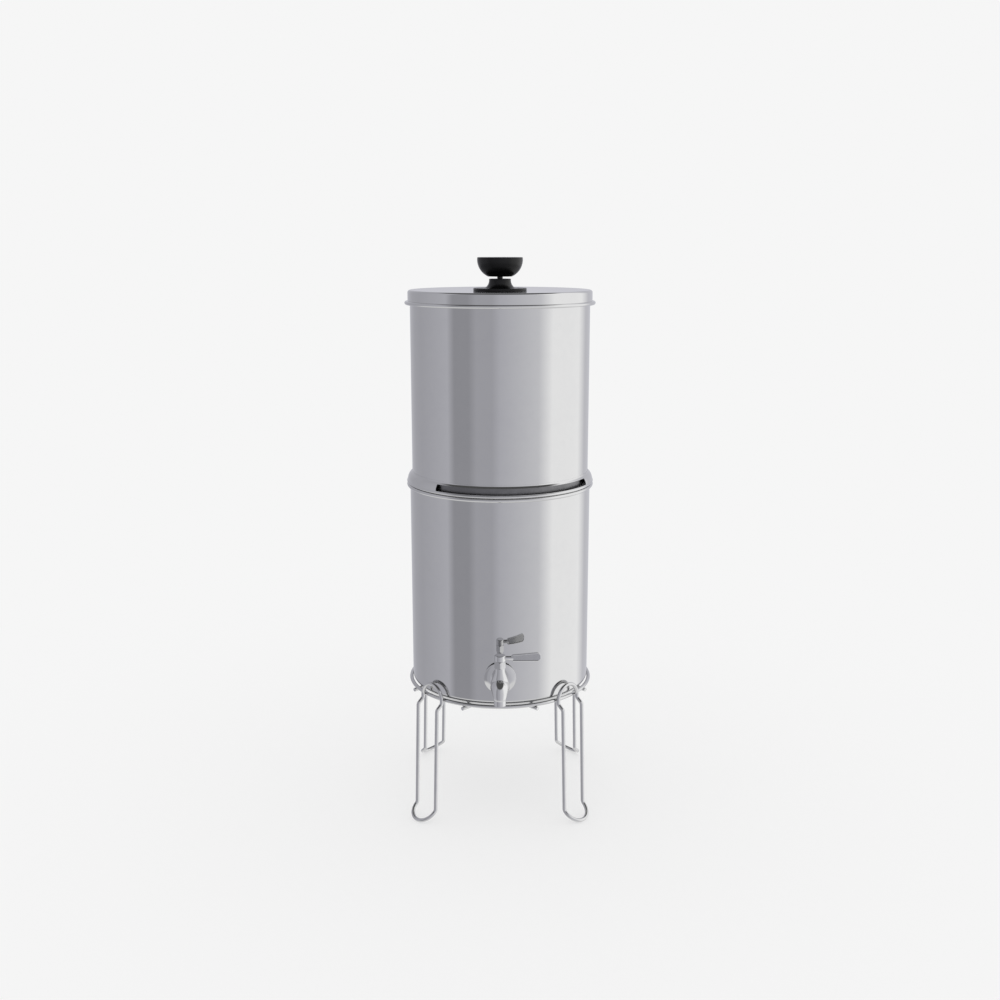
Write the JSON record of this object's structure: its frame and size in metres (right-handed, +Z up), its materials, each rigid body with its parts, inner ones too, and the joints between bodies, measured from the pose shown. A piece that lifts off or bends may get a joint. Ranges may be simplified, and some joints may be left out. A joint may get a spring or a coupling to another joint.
{
  "type": "gravity water filter with tap",
  "caption": "Round polished steel gravity water filter: an upper tank stacked on a lower tank, with a knobbed lid, a lever tap low at the front and a wire stand on looped legs.",
  "frame": {"origin": "on the worktop under the stand, on the common axis of the two tanks", "axes": "+Z up along the tanks' axis, -Y towards the user through the tap, +X to the user's right"},
  "size_m": [0.225, 0.2704, 0.6622],
  "materials": {
    "stand_wire": "bright polished stainless steel wire, 4.5 mm thick",
    "polished_sheet": "mirror polished stainless steel sheet",
    "polished_tap": "polished stainless steel casting",
    "plain_steel": "turned stainless steel",
    "seal_rubber": "matt moulded silicone rubber",
    "seat_plastic": "turned white low-friction plastic",
    "black_plastic": "satin moulded black plastic",
    "filter_plastic": "moulded food grade plastic",
    "carbon_block": "pressed activated carbon, fine open grain"
  },
  "bodies": {
    "stand": {"stand_ring": "stand_wire", "leg_back_right": "stand_wire", "leg_back_left": "stand_wire", "leg_front_left": "stand_wire", "leg_front_right": "stand_wire", "support_wires_straight": "stand_wire", "support_wires_dipped": "stand_wire"},
    "lower_vessel": {"lower_tank": "polished_sheet", "tap_body": "polished_tap", "tap_shank": "plain_steel", "tap_escutcheon": "polished_tap", "tap_outer_gasket": "seal_rubber", "tap_inner_gasket": "seal_rubber", "tap_inner_washer": "plain_steel", "tap_lock_nut": "plain_steel", "ball_seats": "seat_plastic", "bonnet_nut": "polished_tap", "stem_seals": "seal_rubber"},
    "tap_handle": {"tap_lever": "polished_tap", "tap_stem": "plain_steel", "tap_ball": "plain_steel"},
    "upper_vessel": {"upper_tank": "polished_sheet", "support_collar": "polished_sheet", "filter_washer_left": "seal_rubber", "filter_base_left": "filter_plastic", "filter_block_left": "carbon_block", "filter_cap_left": "filter_plastic", "wing_nut_left": "filter_plastic", "filter_washer_right": "seal_rubber", "filter_base_right": "filter_plastic", "filter_block_right": "carbon_block", "filter_cap_right": "filter_plastic", "wing_nut_right": "filter_plastic"},
    "lid_with_knob": {"lid": "polished_sheet", "knob_base": "black_plastic", "knob": "black_plastic", "knob_washer": "plain_steel", "knob_screw": "plain_steel"}
  },
  "joints": [
    {"name": "lower_vessel_lift", "type": "slide", "parent": "stand", "child": "lower_vessel", "axis": [0, 0, 1], "range_m": [0, 0.04]},
    {"name": "tap_turn", "type": "hinge", "parent": "lower_vessel", "child": "tap_handle", "pos_m": [0, -0.1362, 0.2], "axis": [0, 0, -1], "range_deg": [0, 90]},
    {"name": "upper_vessel_lift", "type": "slide", "parent": "lower_vessel", "child": "upper_vessel", "axis": [0, 0, 1], "range_m": [0, 0.06]},
    {"name": "lid_lift", "type": "slide", "parent": "upper_vessel", "child": "lid_with_knob", "axis": [0, 0, 1], "range_m": [0, 0.04]}
  ]
}
